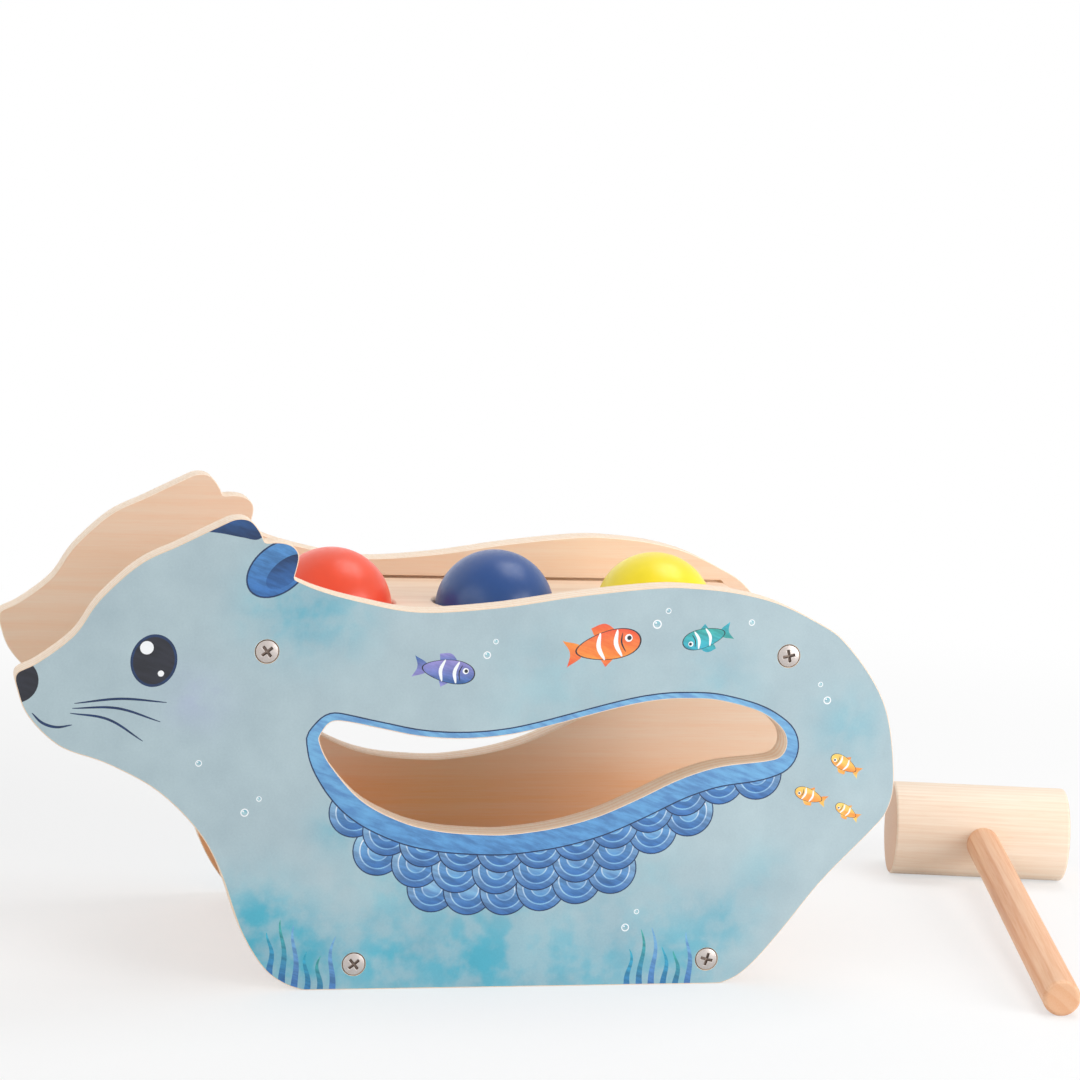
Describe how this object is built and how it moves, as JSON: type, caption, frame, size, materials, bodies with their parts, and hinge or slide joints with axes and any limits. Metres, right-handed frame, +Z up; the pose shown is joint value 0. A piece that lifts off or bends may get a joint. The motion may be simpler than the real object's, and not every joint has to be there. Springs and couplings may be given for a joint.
{
  "type": "pounding toy with xylophone",
  "caption": "Seal-shaped wooden pounding toy: balls in a pounding board between two cut-out side panels drop onto a slide-out xylophone; a wooden hammer lies beside it.",
  "frame": {"origin": "on the floor under the middle ball, halfway between the side panels, on the underside of the bottom board", "axes": "+Z up, +X from the head towards the tail, -Y towards the printed front side"},
  "size_m": [0.463, 0.2332, 0.1722],
  "materials": {
    "printed_panel": "plywood with a printed and lacquered outer face",
    "birch": "sanded birch plywood",
    "beech": "sanded beech",
    "pale_beech": "sanded pale beech",
    "red_lacquer": "satin coral red lacquer",
    "blue_lacquer": "satin navy lacquer",
    "yellow_lacquer": "satin lemon lacquer",
    "rubber_ring": "matt",
    "nickel": "nickel plated",
    "felt": "pressed felt",
    "bar_red": "satin lacquer",
    "bar_orange": "satin lacquer",
    "bar_yellow": "satin lacquer",
    "bar_green": "satin lacquer",
    "bar_teal": "satin lacquer",
    "bar_sky": "satin lacquer",
    "bar_blue": "satin lacquer",
    "bar_violet": "satin lacquer"
  },
  "bodies": {
    "stand": {"front_side_panel": "printed_panel", "back_side_panel": "printed_panel", "pounding_board": "birch", "bottom_board": "birch", "grip_ring_red": "rubber_ring", "grip_ring_blue": "rubber_ring", "grip_ring_yellow": "rubber_ring", "front_screw_upper_head": "nickel", "front_screw_upper_tail": "nickel", "front_screw_lower_head": "nickel", "front_screw_lower_tail": "nickel", "back_screw_upper_head": "nickel", "back_screw_upper_tail": "nickel", "back_screw_lower_head": "nickel", "back_screw_lower_tail": "nickel"},
    "red_ball": {"ball_red": "red_lacquer"},
    "blue_ball": {"ball_blue": "blue_lacquer"},
    "yellow_ball": {"ball_yellow": "yellow_lacquer"},
    "xylophone": {"xylophone_head_block": "beech", "xylophone_tail_block": "beech", "xylophone_front_rail": "beech", "xylophone_back_rail": "beech", "xylophone_front_felt": "felt", "xylophone_back_felt": "felt", "tone_bar_1": "bar_red", "tone_bar_2": "bar_orange", "tone_bar_3": "bar_yellow", "tone_bar_4": "bar_green", "tone_bar_5": "bar_teal", "tone_bar_6": "bar_sky", "tone_bar_7": "bar_blue", "tone_bar_8": "bar_violet", "bar_pin_front_1": "nickel", "bar_pin_front_2": "nickel", "bar_pin_front_3": "nickel", "bar_pin_front_4": "nickel", "bar_pin_front_5": "nickel", "bar_pin_front_6": "nickel", "bar_pin_front_7": "nickel", "bar_pin_front_8": "nickel", "bar_pin_back_1": "nickel", "bar_pin_back_2": "nickel", "bar_pin_back_3": "nickel", "bar_pin_back_4": "nickel", "bar_pin_back_5": "nickel", "bar_pin_back_6": "nickel", "bar_pin_back_7": "nickel", "bar_pin_back_8": "nickel"},
    "hammer": {"hammer_head": "pale_beech", "hammer_handle": "beech"}
  },
  "joints": [
    {"name": "red_ball_pound", "type": "slide", "parent": "stand", "child": "red_ball", "axis": [0, 0, -1], "range_m": [-0.06, 0.074], "deforming": ["grip_ring_red"]},
    {"name": "blue_ball_pound", "type": "slide", "parent": "stand", "child": "blue_ball", "axis": [0, 0, -1], "range_m": [-0.06, 0.0764], "deforming": ["grip_ring_blue"]},
    {"name": "yellow_ball_pound", "type": "slide", "parent": "stand", "child": "yellow_ball", "axis": [0, 0, -1], "range_m": [-0.06, 0.0788], "deforming": ["grip_ring_yellow"]},
    {"name": "xylophone_slide", "type": "slide", "parent": "stand", "child": "xylophone", "axis": [-1, 0, 0], "range_m": [0, 0.17]},
    {"name": "hammer_lift", "type": "slide", "parent": "stand", "child": "hammer", "axis": [0, 0, 1], "range_m": [0, 0.25]}
  ]
}
